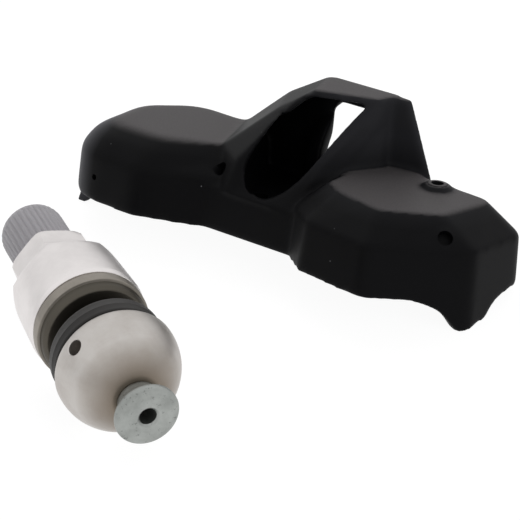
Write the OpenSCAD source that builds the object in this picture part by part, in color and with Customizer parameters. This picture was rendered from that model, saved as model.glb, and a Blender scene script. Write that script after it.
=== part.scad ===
// Tyre pressure sensor with its clamp-in valve: the moulded sensor housing leans on its two
// front feet and its back edge, and the metal valve that carries it lies on the floor beside it.

/* [Layout on the floor] */
// Left-right place of the housing
housing_x = -1.1; // [-10:0.1:10]
// Front-back place of the housing
housing_y = 16.6; // [10:0.1:30]
// Left-right place of the valve's ball foot
valve_x = 6.8; // [0:0.1:20]
// Front-back place of the valve's ball foot
valve_y = -28.4; // [-40:0.1:-20]
// Turn of the valve, 0 with its cap straight back
valve_yaw = 58.5; // [40:0.5:90]

/* [Housing] */
// Thickness of the moulded walls
wall = 1.5; // [1.2:0.1:2]
// Height of the open underside above the tips of the feet
underside_z = 4.5; // [3:0.1:6]
// Height at which the side walls turn into the sloping shoulder
shoulder_z = 12.8; // [11.5:0.1:14]
// Height of the flat tops of both lobes
top_z = 17; // [16:0.1:19]
// Height of the band over the bridge
band_z = 28.2; // [26:0.1:31]
// Flare of the walls towards their lower edge
flare = 0.8; // [0.2:0.1:1.2]
// Front-back place at which the floor passes through the lowest level of the feet
foot_y = -1; // [-3:0.1:1]
// Width of the foot at the left end
left_foot_w = 2.4; // [2:0.2:5]
// Place of the right foot along the housing
right_foot_x = 37.8; // [36:0.1:39]

/* [Bridge and seat] */
// Front-back place of the back face
back_y = 16; // [15:0.1:18]
// Thickness of the wall behind the pocket
back_wall = 2.2; // [1.5:0.1:3]
// Height of the pocket floor
pocket_floor_z = 10.6; // [9.8:0.1:11.5]
// Left-right place of the ball seat and its slot
seat_x = 6; // [5:0.1:8]
// Height of the centre of the ball seat
seat_z = 14.5; // [13:0.1:16]
// Distance of that centre behind the back face
seat_out = 5.5; // [5:0.1:6.5]
// Thickness of the curved plate of the seat
seat_wall = 2.5; // [2:0.1:3]
// Width of the slot for the fixing screw
slot_w = 6.8; // [6.5:0.1:8]
// Height of the upper end of the slot
slot_top_z = 24.8; // [22:0.1:26]
// Height of the lower end of the slot
slot_low_z = 13.2; // [12:0.1:16]

/* [Pressure port and blind holes] */
// Left-right place of the port
port_x = 25; // [20:0.1:28]
// Front-back place of the port
port_y = 10.2; // [8:0.1:11]
// Bore of the port
port_d = 2; // [1.5:0.1:2.5]
// Outer diameter of the port's rim
port_rim_d = 3.9; // [3.6:0.1:5]
// Height of the port's rim over the flat top
port_h = 0.9; // [0.5:0.1:1.5]
// Diameter of the blind holes in the shoulders
blind_d = 2.4; // [1.5:0.1:2.8]
// Depth of the blind holes
blind_depth = 1; // [0.6:0.1:1.2]

/* [Board and cell] */
// Thickness of the resin that closes the underside
resin_t = 1.4; // [1:0.1:2]
// Gap between the resin and the board
board_lift = 0.5; // [0.4:0.1:1]
// Thickness of the circuit board
board_t = 1; // [0.8:0.1:1.6]
// Clearance from the board's edge to the walls
board_gap = 0.4; // [0.3:0.1:0.8]
// Diameter of the coin cell
cell_d = 20; // [16:0.1:20]
// Height of the coin cell
cell_h = 3.2; // [2.5:0.1:3.2]
// Left-right place of the coin cell
cell_x = -22.6; // [-22.8:0.1:-22.4]
// Front-back place of the coin cell
cell_y = 3.3; // [3:0.1:4]
// Thickness of the welded battery tabs
tab_t = 0.3; // [0.2:0.05:0.4]

/* [Valve] */
// Radius of the ball foot
ball_r = 9.25; // [9:0.05:9.3]
// Diameter of the valve stem
stem_d = 7.7; // [7.5:0.1:7.9]
// Length of the stem from the centre of the ball to its tip
stem_len = 39.5; // [38:0.5:41]
// Distance from the centre of the ball to its edge at the seal
edge_s = 1.3; // [1:0.1:2.4]
// Radius of that edge
edge_r = 8.75; // [8.6:0.05:8.8]
// Radius of the seal's flange
seal_r = 8.7; // [8.3:0.05:8.9]
// Thickness of the seal's flange
seal_t = 3.6; // [2.5:0.1:4]
// Radius of the seal's sleeve, which fills the rim hole
sleeve_r = 5.65; // [5.4:0.05:5.8]
// Length of that sleeve, the thickness of the rim
sleeve_len = 3.4; // [3:0.1:4.5]
// Radius of the clamp washer
washer_r = 8.8; // [8:0.05:9]
// Thickness of the clamp washer
washer_t = 3.8; // [2.5:0.1:4.2]
// Diameter of the hole for the holding rod
rod_hole_d = 2.3; // [2:0.1:2.5]
// Depth of that hole
rod_hole_depth = 4; // [3:0.1:4.5]

/* [Nut] */
// Width across the flats of the hexagon
nut_af = 11.8; // [10.5:0.1:12]
// Overall length of the nut
nut_len = 17.8; // [16:0.1:19]
// Length of the round collar
collar_len = 13; // [10:0.1:13]
// Radius of the collar at the washer
collar_r = 9; // [8.2:0.05:9.1]
// Radius of the collar at its start
collar_start_r = 8.7; // [7.6:0.05:8.8]
// Running clearance round the stem
thread_gap = 0.05; // [0.03:0.01:0.08]

/* [Cap] */
// Outer diameter of the cap
cap_d = 10.3; // [9.6:0.1:10.6]
// How far the cap reaches past the tip of the stem
cap_over = 2.3; // [2.2:0.1:3.2]
// Number of ribs round the cap
cap_ribs = 36; // [24:2:48]
// Depth of the ribs
cap_rib_h = 0.25; // [0.15:0.05:0.3]
// Gap between the cap and the nut
cap_gap = 0.3; // [0.2:0.1:0.5]

/* [Fixing screw] */
// Diameter of the neck between ball and head
neck_d = 6.2; // [5.5:0.1:6.4]
// Diameter of the threaded shank
shank_d = 5; // [4.5:0.1:5.2]
// Length of the shank inside the ball
shank_len = 7; // [5:0.1:8]
// Diameter of the flared head
head_d = 9.6; // [9:0.1:10]
// Distance of the head's face from the centre of the ball
head_out = 13.2; // [12.4:0.1:13.6]
// Bore through the screw
screw_bore_d = 2.6; // [2.3:0.1:3]

/* [Valve core] */
// Diameter of the core's barrel
core_d = 4.6; // [4.4:0.1:4.7]
// Diameter of the core's pin
core_pin_d = 1; // [0.8:0.1:1.2]
// Length of the core's pin
core_pin_len = 13; // [12:0.5:14]
// Turns of the core's spring
spring_turns = 6; // [4:1:8]
/* [Hidden] */
$fn = 64;

// Steps in each rounded corner of the moulded outlines
corner_steps = 6;
// Overlap that makes a cut run clean past a face
past = 1;
// Gap between pieces that lie face to face
seat_gap = 0.05;

// The housing stands on its front feet and its back edge, so it leans back by this angle
lean = atan(underside_z / (back_y + flare - foot_y));

// Corners of the outlines, each [x, y, radius], anticlockwise from the front left.
// Left lobe at its shoulder and at its flat top
left_shoulder = [[-26.8, -1.7, 8], [-20.5, -1.8, 8], [-8.5, -2.2, 2.2],
                 [-8.5, back_y - 2.4, 2.4], [-24, back_y - 8, 8], [-28.1, back_y - 9.5, 6.5]];
// The same lobe at its lower edge, drawn out towards the left foot
left_low = [[-26.9, -1.3, 7.9], [-20.5, -1.8, 8], [-8.5, -2.2, 2.2],
            [-8.5, back_y - 2.4, 2.4], [-24.2, back_y - 8, 8], [-28.3, back_y - 9.5, 6.5]];
left_top = [[-25.8, 0.5, 4.5], [-19.5, 0.4, 4.5], [-10, 3, 2],
            [-10, back_y - 3.6, 2], [-22.2, back_y - 8.2, 7.2], [-25.4, back_y - 10.1, 5.7]];
// The same lobe where its slope bulges
left_bulge = [[-26.5, -0.7, 6.8], [-20.1, -0.7, 6.6], [-9.4, 0.8, 2.1],
              [-9.4, back_y - 3, 2.2], [-23, back_y - 8.2, 8], [-26.9, back_y - 9.9, 6.9]];
left_bulge_z = 15.3;
// Right lobe at its shoulder and at its flat top
right_shoulder = [[10.2, -2.9, 2.2], [14.2, -6.4, 2.2], [25, -7.7, 2.5],
                  [36.2, 1.4, 2.3], [36.8, back_y - 4.5, 2.6], [10, back_y - 2.4, 2.4]];
right_top = [[13.5, 0.5, 1.8], [16, -1, 2], [23.6, -2.7, 2.2],
             [29.8, 1.6, 2.2], [31.3, back_y - 5.8, 2.3], [13, back_y - 3.6, 2]];
// Waist between the lobes
waist_plan = [[-9, -2.6, 2.2], [10, -2.6, 2.2], [10, back_y - 2.4, 2.4], [-9, back_y - 2.4, 2.4]];
waist_z = 12;
// Bridge: at the waist, where it leaves the flat tops, and at the band
bridge_low = [[-9.8, -0.5, 1.5], [-4.4, -3.9, 1.5], [6.4, -3.6, 1.5], [10.2, 3.6, 1.2],
              [14.2, 11.8, 1.2], [14.2, back_y - 1.2, 1.2], [-17, back_y - 1.3, 1.3]];
bridge_mid = [[-8.6, 1.8, 1.4], [-3.4, -2.2, 1.3], [7.3, 1.2, 1.2], [9.6, 5.6, 1.2],
              [12.6, 12.2, 1.1], [12.6, back_y - 1.1, 1.1], [-13.4, back_y - 1.3, 1.3]];
bridge_mid_z = top_z + 0.2;
bridge_upper = [[-2.3, 6.2, 1], [0.5, 4, 1.1], [10.6, 7.8, 1], [11.5, 10.1, 1],
                [12.2, 13.1, 0.9], [12.4, back_y - 0.9, 0.9], [-6, back_y - 1.1, 1.1]];
bridge_upper_z = 24;
bridge_high = [[3, 9, 0.8], [3.4, 7.9, 1], [12, 11.6, 0.9], [12.2, 12.7, 0.8],
               [12.4, 13.8, 0.8], [12.7, back_y - 0.8, 0.8], [1, back_y - 1, 1]];
// Fin beside the bridge, at its root and just under the band
fin_low = [[12, 13.6, 0.6], [20.6, 15.1, 0.6], [20.6, back_y - 0.6, 0.6], [12, back_y - 0.6, 0.6]];
fin_high = [[12, 14.2, 0.5], [15.1, 14.9, 0.5], [15.1, back_y - 0.5, 0.5], [12, back_y - 0.5, 0.5]];
fin_root_z = 15.5;
fin_top_z = band_z - 0.15;

// Thickness of the band over the pocket
band_t = 1.1;
// Heights and edges of the leaf-shaped opening: [z, left edge, right edge, left wall beside the
// opening, right wall, left end of the back wall, right end of the back wall]
opening_low_z = 12.2;
inner_low_z = 11.3;
opening = [[opening_low_z, 0.9, 2.4, -5.2, 7.3, -9.6, 11],
           [13, -0.9, 3.8, -5.6, 7.4, -9.6, 11],
           [14.2, -2, 5.1, -5.6, 7.6, -9.7, 11],
           [15.6, -2.7, 6.1, -5.7, 7.8, -10, 11],
           [17, -2.9, 6.8, -6, 8, -12, 11],
           [19.5, -2.5, 7.7, -4.8, 8.6, -9.9, 11.1],
           [22.7, -1.7, 8.8, -2.9, 9.7, -6.5, 11.3],
           [25.2, -0.5, 9.8, -1, 10.6, -3.4, 11.5],
           [26.2, 0.2, 10.3, -0.2, 11, -2.2, 11.6],
           [band_z - band_t, 0.9, 11, 0.8, 11.4, -1.2, 11.7]];
// The front of the bridge slopes back: its place at a height, and the thickness of the lip there
function front_y(x, z) = -5 + 0.73 * (z - 12) + 0.37 * (x - 2);
lip_t = 1.3;
// Front edge of the pocket's cut, clear of the housing
cut_front_y = -12;
// Floor of the pocket behind its lip
basin = [[-3, -2.6], [4.8, -2.4], [7.4, 3], [11, back_y - back_wall], [-9.4, back_y - back_wall], [-5.2, 1]];
basin_z = 14;

// Curved seat behind the slot: the ball of the valve bears on its inside
seat_r = ball_r + seat_gap;
seat_y = back_y + seat_out;
// The slot widens towards the back face
slot_flare = 2.2;

// Space inside the lobes: its ceiling, and where it ends beside the pocket
cavity_top_z = top_z - wall;
left_cavity_end = -11.4;
right_cavity_end = 14.6;
// Channel for the board under the pocket
channel_front_y = -3.2;
channel_back_y = 9.4;
channel_top_z = pocket_floor_z - wall;

// Heights of what lies on the board
board_z = underside_z + resin_t + board_lift;
parts_z = board_z + board_t;
cell_z = parts_z + tab_t;
chip_h = 2.2;
gasket_h = 1.8;
gasket_z = parts_z + chip_h;
filter_t = 0.3;
boss_z = gasket_z + gasket_h;
boss_d = port_d + 3.2;

// Inner face of the left foot, and its flare outwards: [outer face, inner face, height]
left_foot_x = -35.6;
left_foot = [[-38.1, -36.2, -1.2], [-35.2, -34, 7]];

// Blind holes, [x, y, z] of their mouths, on the shoulders and beside the pocket's lip
left_blind = [-7.35, -2.6, 14.2];
right_blind = [34, -1.6, 14.4];
pocket_blind = [-1.2, 0.4, pocket_floor_z];

// Places along the valve's axis, from the centre of the ball towards the cap
groove_t = 0.5;
flange_s = edge_s + groove_t;
sleeve_s = flange_s + seal_t;
washer_s = sleeve_s + sleeve_len;
nut_s = washer_s + washer_t;
nut_end_s = nut_s + nut_len;
cap_s = nut_end_s + cap_gap;
cap_end_s = stem_len + cap_over;
cap_len = cap_end_s - cap_s;
cap_seal_t = 1;
cap_roof_t = 1;
// The ball is cut flat where the neck of the screw meets it
ball_flat_s = -sqrt(ball_r * ball_r - pow(neck_d / 2 + 0.4, 2));
air_bore_d = 2.6;
chamber_r = core_d / 2 + 0.05;
chamber_len = 16;
nut_chamfer = 0.6;

// Valve core: chamber for the spring inside the barrel
core_tip_s = stem_len - 1;
barrel_len = 8.4;
barrel_low_s = core_tip_s - barrel_len;
barrel_floor_t = 0.8;
spring_low_s = barrel_low_s + barrel_floor_t;
spring_room_r = 1.7;
spring_wire_r = 0.15;
spring_r = 1.1;
pin_collar_r = 1.4;
pin_collar_s = spring_low_s + 3.7;
pin_collar_t = 0.4;
spring_room_top_s = pin_collar_s + pin_collar_t + 0.3;
pin_gap = 0.08;
core_seal_t = 1;
core_seal_r = 1.9;
gasket_groove = 0.35;

// Outline round a row of corner circles, each grown by grow
function turn_angle(a, b) = let (d = [b[0] - a[0], b[1] - a[1]])
    atan2(d[1], d[0]) - acos((a[2] - b[2]) / norm(d));
function near_angle(a, base) = a + 360 * round((base + 60 - a) / 360);
function outline(corners, grow = 0) = let (n = len(corners)) [
    for (i = [0 : n - 1])
        let (before = turn_angle(corners[(i + n - 1) % n], corners[i]),
             after = near_angle(turn_angle(corners[i], corners[(i + 1) % n]), before),
             r = corners[i][2] + grow)
        for (k = [0 : corner_steps])
            let (a = before + (after - before) * k / corner_steps)
            [corners[i][0] + r * cos(a), corners[i][1] + r * sin(a)]];
function between(a, b, part) = [for (i = [0 : len(a) - 1]) a[i] + (b[i] - a[i]) * part];

// Solid through a stack of outlines, each [outline, height], all with the same number of points
module loft(levels) {
    n = len(levels[0][0]);
    points = [for (level = levels) for (p = level[0]) [p[0], p[1], level[1]]];
    sides = [for (j = [0 : len(levels) - 2]) for (i = [0 : n - 1]) let (k = (i + 1) % n)
        each [[j * n + i, (j + 1) * n + i, (j + 1) * n + k], [j * n + i, (j + 1) * n + k, j * n + k]]];
    floor_face = [[for (i = [0 : n - 1]) i]];
    roof_face = [[for (i = [0 : n - 1]) (len(levels) - 1) * n + n - 1 - i]];
    polyhedron(points, concat(sides, floor_face, roof_face), convexity = 6);
}

// Tube along a helix round the z axis
module coil_spring(r, wire_r, low, high, turns) {
    sides = 8;
    rings = turns * 14;
    points = [for (i = [0 : rings]) let (a = 360 * turns * i / rings,
                                         z = low + (high - low) * i / rings)
        for (k = [0 : sides - 1]) let (b = 360 * k / sides)
            [(r + wire_r * cos(b)) * cos(a), (r + wire_r * cos(b)) * sin(a), z + wire_r * sin(b)]];
    sides_faces = [for (i = [0 : rings - 1]) for (k = [0 : sides - 1]) let (m = (k + 1) % sides)
        each [[i * sides + k, (i + 1) * sides + k, (i + 1) * sides + m],
              [i * sides + k, (i + 1) * sides + m, i * sides + m]]];
    ends = [[for (k = [0 : sides - 1]) k], [for (k = [0 : sides - 1]) rings * sides + sides - 1 - k]];
    polyhedron(points, concat(sides_faces, ends), convexity = 10);
}

module box(x0, x1, y0, y1, z0, z1) {
    translate([x0, y0, z0]) cube([x1 - x0, y1 - y0, z1 - z0]);
}

// Stands the housing's own frame on the floor
module on_floor() {
    translate([housing_x, housing_y, foot_y * sin(lean)]) rotate([-lean, 0, 0]) children();
}

// Lays the valve's own frame, z towards the cap, on the floor
module valve_on_floor() {
    translate([valve_x, valve_y, ball_r]) rotate([0, 0, valve_yaw]) rotate([-90, 0, 0]) children();
}

// Tube or disc of the valve between two places along its axis
module ring(r_out, r_in, low, high) {
    difference() {
        translate([0, 0, low]) cylinder(r = r_out, h = high - low);
        if (r_in > 0) translate([0, 0, low - past]) cylinder(r = r_in, h = high - low + 2 * past);
    }
}

// Housing

module housing_form() {
    loft([[outline(left_low, flare), underside_z - 5], [outline(left_shoulder), shoulder_z],
          [outline(left_bulge), left_bulge_z], [outline(left_top), top_z]]);
    loft([[outline(right_shoulder, flare), underside_z - 5], [outline(right_shoulder), shoulder_z],
          [outline(right_top), top_z]]);
    loft([for (level = left_foot) let (low = foot_y - 0.2, high = foot_y + left_foot_w - 0.4)
          [[[level[0], low], [level[1], low], [level[1], high], [level[0], high]], level[2]]]);
    loft([[outline(waist_plan, flare / 2), underside_z - 5], [outline(waist_plan), waist_z]]);
    loft([[outline(bridge_low), waist_z - 0.4], [outline(bridge_mid), bridge_mid_z],
          [outline(bridge_upper), bridge_upper_z], [outline(bridge_high), band_z]]);
    loft([[outline(fin_low), fin_root_z], [outline(fin_high), fin_top_z]]);
    translate([port_x, port_y, top_z - 0.3])
        cylinder(d1 = port_rim_d + 1.8, d2 = port_rim_d, h = port_h + 0.3);
}

// Leaf-shaped opening in the front of the bridge and the pocket behind it
module pocket() {
    back = back_y - back_wall;
    loft([for (s = opening)
        [[[s[1], cut_front_y], [s[2], cut_front_y], [s[2] + 0.2, front_y(s[2], s[0]) + lip_t + 0.6],
          [s[1] + 0.4, front_y(s[1], s[0]) + lip_t + 0.6]], s[0]]]);
    loft([for (i = [0 : len(opening) - 1])
        let (s = opening[i], left = front_y(s[1], s[0]) + lip_t, right = front_y(s[2], s[0]) + lip_t)
        [[[s[1] + 0.3, left], [s[2], right], [s[4], right + 1.5], [s[6], back], [s[5], back],
          [s[3], left + 1.5]], i == 0 ? inner_low_z : s[0]]]);
    loft([[basin, pocket_floor_z], [basin, basin_z]]);
}

// Slot for the neck of the fixing screw, with its relief towards the back face
module seat_slot() {
    r = slot_w / 2;
    low_r = r - 0.3;
    top_r = 1;
    front = back_y - 9;
    translate([seat_x, front, 0]) rotate([-90, 0, 0]) linear_extrude(back_y + past - front)
        polygon(outline([[top_r - r, top_r - slot_top_z, top_r], [r - top_r, top_r - slot_top_z, top_r],
                         [r - low_r, -slot_low_z - low_r, low_r], [low_r - r, -slot_low_z - low_r, low_r]]));
    translate([0, 0, slot_low_z + r]) linear_extrude(slot_top_z - slot_low_z - r - top_r)
        polygon([[seat_x - r, back_y - back_wall], [seat_x + r, back_y - back_wall],
                 [seat_x + r + slot_flare, back_y + past], [seat_x - r - slot_flare, back_y + past]]);
}

module seat_bulge() {
    intersection() {
        translate([seat_x, seat_y, seat_z]) sphere(r = seat_r + seat_wall);
        box(seat_x - 9, seat_x + 9, back_y - 9, back_y - back_wall + 0.3, pocket_floor_z - 0.3, band_z - 1);
    }
}

// Space for the board, the cell and the chips
module cavity() {
    part = (cavity_top_z - shoulder_z) / (top_z - shoulder_z);
    low = underside_z - 6;
    intersection() {
        loft([[outline(left_shoulder, -wall), low], [outline(left_shoulder, -wall), shoulder_z],
              [outline(between(left_shoulder, left_top, part), -wall), cavity_top_z]]);
        box(-50, left_cavity_end, -20, 30, low, top_z);
    }
    intersection() {
        loft([[outline(right_shoulder, -wall), low], [outline(right_shoulder, -wall), shoulder_z],
              [outline(between(right_shoulder, right_top, part), -wall), cavity_top_z]]);
        box(right_cavity_end, 50, -20, 30, low, top_z);
    }
    box(left_cavity_end - past, right_cavity_end + past, channel_front_y, channel_back_y, low, channel_top_z);
}

// What is cut away below the walls, but for the two feet
module underside_cut() {
    tip_r = 2.4;
    difference() {
        box(-60, 60, -30, 40, underside_z - 8, underside_z);
        translate([right_foot_x, 1.5, 0]) rotate_extrude()
            polygon(concat([[0, underside_z + past], [0, -9]], [[tip_r, -9]],
                [for (s = [0 : 0.125 : 1]) [tip_r + 3.4 * s + 3.7 * pow(s, 6), underside_z * s]],
                [[tip_r + 7.1, underside_z + past]]));
        box(-50, left_foot_x, foot_y - 0.3, foot_y - 0.3 + left_foot_w, -9, underside_z + past);
    }
    translate([0, foot_y, 0]) rotate([lean, 0, 0]) box(-80, 80, -80, 80, -30, 0);
}

module housing_shell() {
    color([0.13, 0.13, 0.14]) on_floor() difference() {
        union() {
            difference() {
                housing_form();
                pocket();
                cavity();
            }
            seat_bulge();
            translate([port_x, port_y, boss_z]) cylinder(d = boss_d, h = cavity_top_z + 0.3 - boss_z);
        }
        translate([seat_x, seat_y, seat_z]) sphere(r = seat_r);
        seat_slot();
        underside_cut();
        translate([port_x, port_y, boss_z - past]) cylinder(d = port_d, h = top_z + 5 - boss_z);
        translate([port_x, port_y, boss_z - past])
            cylinder(d = port_d + 1.2, h = past + filter_t + seat_gap);
        translate(left_blind) rotate([60, 0, -31]) blind_hole();
        translate(right_blind) rotate([48, 0, 40]) blind_hole();
        translate(pocket_blind) blind_hole();
    }
}

module blind_hole() {
    translate([0, 0, -blind_depth]) cylinder(d = blind_d, h = blind_depth + 3);
}

// Plan of what lies in the bottom of the housing, with a gap to its walls
module inner_plan(gap) {
    polygon(outline(left_shoulder, -wall - gap));
    polygon(outline(right_shoulder, -wall - gap));
    translate([left_cavity_end - 3, channel_front_y + gap])
        square([right_cavity_end - left_cavity_end + 6, channel_back_y - channel_front_y - 2 * gap]);
}

module inner_limits(gap) {
    intersection() {
        inner_plan(gap);
        union() {
            translate([-50, -20]) square([50 + left_cavity_end - gap, 50]);
            translate([right_cavity_end + gap, -20]) square([50, 50]);
            translate([-30, channel_front_y + gap])
                square([60, channel_back_y - channel_front_y - 2 * gap]);
        }
    }
}

module resin_seal() {
    color([0.1, 0.1, 0.11]) on_floor()
        translate([0, 0, underside_z]) linear_extrude(resin_t) inner_limits(seat_gap);
}

module circuit_board() {
    color([0.05, 0.35, 0.2]) on_floor()
        translate([0, 0, board_z]) linear_extrude(board_t) inner_limits(board_gap);
}

module coin_cell() {
    color([0.75, 0.75, 0.76]) on_floor() translate([cell_x, cell_y, cell_z]) {
        cylinder(d = cell_d - 2, h = cell_h);
        translate([0, 0, 0.4]) cylinder(d = cell_d, h = cell_h - 0.4);
    }
}

// Strip welded to the top of the cell and folded down to the board
tab_w = 4;
tab_lap = 3;
tab_gap = 0.3;
module cell_top_tab() {
    leg_x = cell_x + cell_d / 2 + tab_gap;
    top = cell_z + cell_h;
    side = tab_w / 2;
    color([0.8, 0.78, 0.7]) on_floor() {
        box(cell_x - tab_lap, leg_x + tab_t, cell_y - side, cell_y + side, top, top + tab_t);
        box(leg_x, leg_x + tab_t, cell_y - side, cell_y + side, parts_z, top + tab_t / 2);
    }
}

// Strip under the cell, soldered to the board
low_tab_len = 12;
low_tab_w = 6;
module cell_bottom_tab() {
    length = low_tab_len / 2;
    side = low_tab_w / 2;
    color([0.8, 0.78, 0.7]) on_floor()
        box(cell_x - length, cell_x + length, cell_y - side, cell_y + side, parts_z, cell_z);
}

module pressure_chip() {
    size = 5.4;
    color([0.2, 0.2, 0.22]) on_floor() translate([port_x, port_y - 0.6, parts_z]) difference() {
        translate([-size / 2, -size / 2, 0]) cube([size, size, chip_h]);
        translate([0, 0.6, chip_h - 0.8]) cylinder(d = port_d - 0.4, h = 2);
    }
}

module controller_chip() {
    color([0.08, 0.08, 0.09]) on_floor() translate([17.9, 4.6, parts_z]) {
        translate([-2.5, -2.5, 0.1]) cube([5, 5, 0.9]);
        for (turn = [0 : 90 : 270]) rotate([0, 0, turn]) for (i = [-3 : 3])
            translate([i * 0.65 - 0.15, -2.9, 0]) cube([0.3, 0.6, 0.3]);
    }
}

module port_gasket() {
    color([0.25, 0.25, 0.27]) on_floor() translate([port_x, port_y, gasket_z]) difference() {
        cylinder(d = boss_d - 0.4, h = gasket_h);
        translate([0, 0, -past]) cylinder(d = port_d, h = gasket_h + 2 * past);
    }
}

module port_filter() {
    color([0.9, 0.9, 0.88]) on_floor()
        translate([port_x, port_y, boss_z]) cylinder(d = port_d + 1.1, h = filter_t);
}

// Ferrite with a square flange at each end
coil_place = [20, -2.6];
coil_len = 8;
coil_flange = 3.6;
coil_flange_t = 1.2;
coil_core_w = 2;
coil_wire_t = 0.6;
module coil_core() {
    color([0.22, 0.2, 0.2]) on_floor() translate([coil_place[0], coil_place[1], parts_z]) {
        for (x = [-coil_len / 2, coil_len / 2 - coil_flange_t])
            translate([x, -coil_flange / 2, 0]) cube([coil_flange_t, coil_flange, coil_flange]);
        translate([-coil_len / 2 + 0.2, -coil_core_w / 2, (coil_flange - coil_core_w) / 2])
            cube([coil_len - 0.4, coil_core_w, coil_core_w]);
    }
}

module coil_winding() {
    w = coil_core_w + 2 * coil_wire_t;
    length = coil_len - 2 * coil_flange_t - 2 * seat_gap;
    color([0.72, 0.42, 0.2]) on_floor()
        translate([coil_place[0], coil_place[1], parts_z + coil_flange / 2]) difference() {
            cube([length, w, w], center = true);
            cube([length + 2, coil_core_w + 2 * seat_gap, coil_core_w + 2 * seat_gap], center = true);
        }
}

module crystal_can() {
    color([0.7, 0.7, 0.72]) on_floor() translate([28.6, 1.6, parts_z]) {
        cube([3.2, 2.5, 0.7]);
        translate([0.25, 0.25, 0.6]) cube([2.7, 2, 0.4]);
    }
}

module tuning_capacitors() {
    color([0.65, 0.55, 0.4]) on_floor() for (i = [0 : 3])
        translate([25.6 + 2 * i, -3.6 + 1.1 * i, parts_z]) cube([1.2, 0.8, 0.8]);
}

// Strip that follows the end of the right lobe, on legs soldered to the board
antenna_t = 0.5;
antenna_h = 2.6;
antenna_leg_h = 1.2;
antenna_leg_w = 1.2;
antenna_gap = 1.4;
antenna_start_x = 29;
module radio_antenna() {
    color([0.78, 0.7, 0.5]) on_floor() {
        translate([0, 0, parts_z + antenna_leg_h]) linear_extrude(antenna_h) antenna_plan();
        translate([0, 0, parts_z]) linear_extrude(antenna_leg_h + 0.1) intersection() {
            antenna_plan();
            translate([antenna_start_x - past, -back_y]) square([antenna_leg_w + past, 3 * back_y]);
        }
    }
}

module antenna_plan() {
    gap = wall + antenna_gap;
    intersection() {
        difference() {
            polygon(outline(antenna_corners, -gap));
            polygon(outline(antenna_corners, -gap - antenna_t));
        }
        translate([antenna_start_x, -back_y]) square([2 * back_y, 3 * back_y]);
    }
}
antenna_corners = [[10.2, -0.7, 4.4], [14.2, -4.2, 4.4], [25, -5.8, 4.4],
                   [34, 3.2, 4.4], [34.8, back_y - 5.6, 4.4], [10, back_y - 4.4, 4.4]];

// Valve

module valve_stem() {
    color([0.78, 0.77, 0.76]) valve_on_floor() difference() {
        union() {
            intersection() {
                sphere(r = ball_r, $fn = 96);
                rotate_extrude() polygon([[0, ball_flat_s], [ball_r + past, ball_flat_s],
                    [ball_r + past, edge_s - 0.8], [edge_r + 0.25, edge_s - 0.3], [edge_r, edge_s], [0, edge_s]]);
            }
            cylinder(d = stem_d, h = stem_len);
        }
        translate([0, 0, stem_len - chamber_len]) cylinder(r = chamber_r, h = chamber_len + past);
        translate([0, 0, ball_flat_s - past]) cylinder(d = air_bore_d, h = stem_len);
        translate([0, 0, ball_flat_s - past])
            cylinder(r = shank_d / 2 + thread_gap, h = shank_len + past + 2 * seat_gap);
        rod_hole();
    }
}

// Hole for the rod that holds the foot while the nut is turned, square to the ball's surface
rod_hole_lat = 9;
rod_hole_turn = 226;
module rod_hole() {
    rotate([0, 0, rod_hole_turn]) rotate([0, 90 + rod_hole_lat, 0])
        translate([0, 0, ball_r - rod_hole_depth]) cylinder(d = rod_hole_d, h = rod_hole_depth + past);
}

module rim_seal() {
    bore = stem_d / 2 + seat_gap;
    color([0.12, 0.12, 0.12]) valve_on_floor() rotate_extrude() polygon([
        [bore, edge_s + seat_gap], [seal_r - 0.5, edge_s + seat_gap], [seal_r - 0.5, flange_s],
        [seal_r, flange_s + 0.2], [seal_r, sleeve_s - 0.5], [seal_r - 0.4, sleeve_s],
        [sleeve_r, sleeve_s], [sleeve_r, washer_s - seat_gap], [bore, washer_s - seat_gap]]);
}

module clamp_washer() {
    edge = 0.3;
    face_in = 0.8;
    face_len = 1.3;
    bore = stem_d / 2 + thread_gap;
    color([0.5, 0.49, 0.45]) valve_on_floor() rotate_extrude() polygon([
        [bore, washer_s], [washer_r - face_in, washer_s], [washer_r, washer_s + face_len],
        [washer_r, nut_s - edge], [washer_r - edge, nut_s - seat_gap], [bore, nut_s - seat_gap]]);
}

// Hexagon that runs out into a round collar
nut_turn = -14;
module clamp_nut() {
    hex_r = nut_af / 2 / cos(30);
    blend_s = nut_s + collar_len;
    color([0.8, 0.8, 0.8]) valve_on_floor() difference() {
        rotate_extrude() polygon([
            [0, nut_s], [collar_r - nut_chamfer / 2, nut_s], [collar_r, nut_s + nut_chamfer],
            [collar_start_r, blend_s], [collar_start_r - 0.6, blend_s + 1.2], [hex_r + 0.3, blend_s + 2.6],
            [hex_r + 0.3, nut_end_s - 0.9], [hex_r - 0.4, nut_end_s], [0, nut_end_s]]);
        translate([0, 0, nut_s - past])
            cylinder(r = stem_d / 2 + thread_gap, h = nut_len + 2 * past);
        for (i = [0 : 5]) rotate([0, 0, nut_turn + 60 * i]) nut_flat(blend_s);
    }
}

// One flat of the hexagon, with its sloping run-out into the collar
module nut_flat(blend_s) {
    flat_x = nut_af / 2;
    rise = collar_r + past - flat_x;
    reach = collar_r + past;
    rotate([90, 0, 0]) translate([0, 0, -reach]) linear_extrude(2 * reach)
        polygon([[flat_x, nut_end_s + past], [flat_x, blend_s + 1.4], [flat_x + 0.6, blend_s - 0.4],
                 [flat_x + rise, blend_s - 4.4], [flat_x + rise, nut_end_s + past]]);
}

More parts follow.
